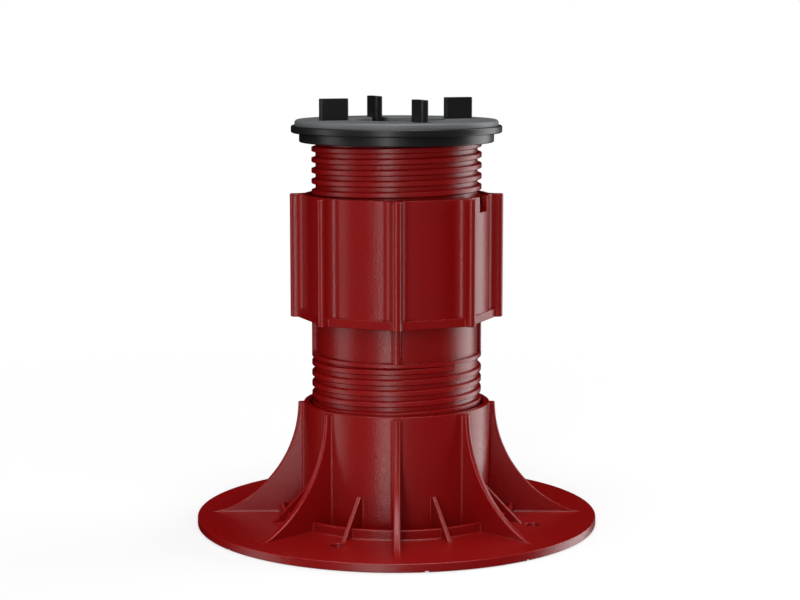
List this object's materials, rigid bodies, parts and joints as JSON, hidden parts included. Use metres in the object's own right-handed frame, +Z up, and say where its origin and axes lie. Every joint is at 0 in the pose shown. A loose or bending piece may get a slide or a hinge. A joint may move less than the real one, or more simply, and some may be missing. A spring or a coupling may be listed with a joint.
{
  "type": "raised floor pedestal",
  "caption": "Height-adjustable screw pedestal with a ribbed round foot, grip collar, threaded stem, tilting head discs, rubber pad and spacer tabs for raised floors.",
  "frame": {"origin": "centre of the flat underside of the foot, on the screw axis", "axes": "+Z up along the screw axis, -Y the front as pictured, +X the right"},
  "size_m": [0.2, 0.2, 0.2119],
  "materials": {
    "red_plastic": "satin moulded",
    "black_plastic": "satin moulded",
    "grey_rubber": "matt"
  },
  "bodies": {
    "foot": {"base": "red_plastic"},
    "coupler": {"coupler": "red_plastic"},
    "slope_base": {"lower_disc": "black_plastic"},
    "stem": {"stem": "red_plastic"},
    "head": {"head_plate": "black_plastic", "pad": "grey_rubber", "tab_front": "black_plastic", "tab_right": "black_plastic", "tab_back": "black_plastic", "tab_left": "black_plastic"}
  },
  "joints": [
    {"name": "coupler_rise", "type": "slide", "parent": "foot", "child": "coupler", "axis": [0, 0, 1], "range_m": [-0.024, 0.018]},
    {"name": "head_rise", "type": "slide", "parent": "coupler", "child": "slope_base", "axis": [0, 0, 1], "range_m": [-0.025, 0.018]},
    {"name": "stem_turn", "type": "hinge", "parent": "slope_base", "child": "stem", "pos_m": [0, 0, 0.16], "axis": [0, 0, 1], "range_deg": [-1713, 1234]},
    {"name": "slope_turn", "type": "hinge", "parent": "slope_base", "child": "head", "pos_m": [0, 0, 0.1961], "axis": [0.025, 0, 0.9997], "range_deg": [0, 180]}
  ],
  "couplings": [
    {"joint": "head_rise", "follows": "stem_turn", "m_per_rad": 0.00083556}
  ]
}
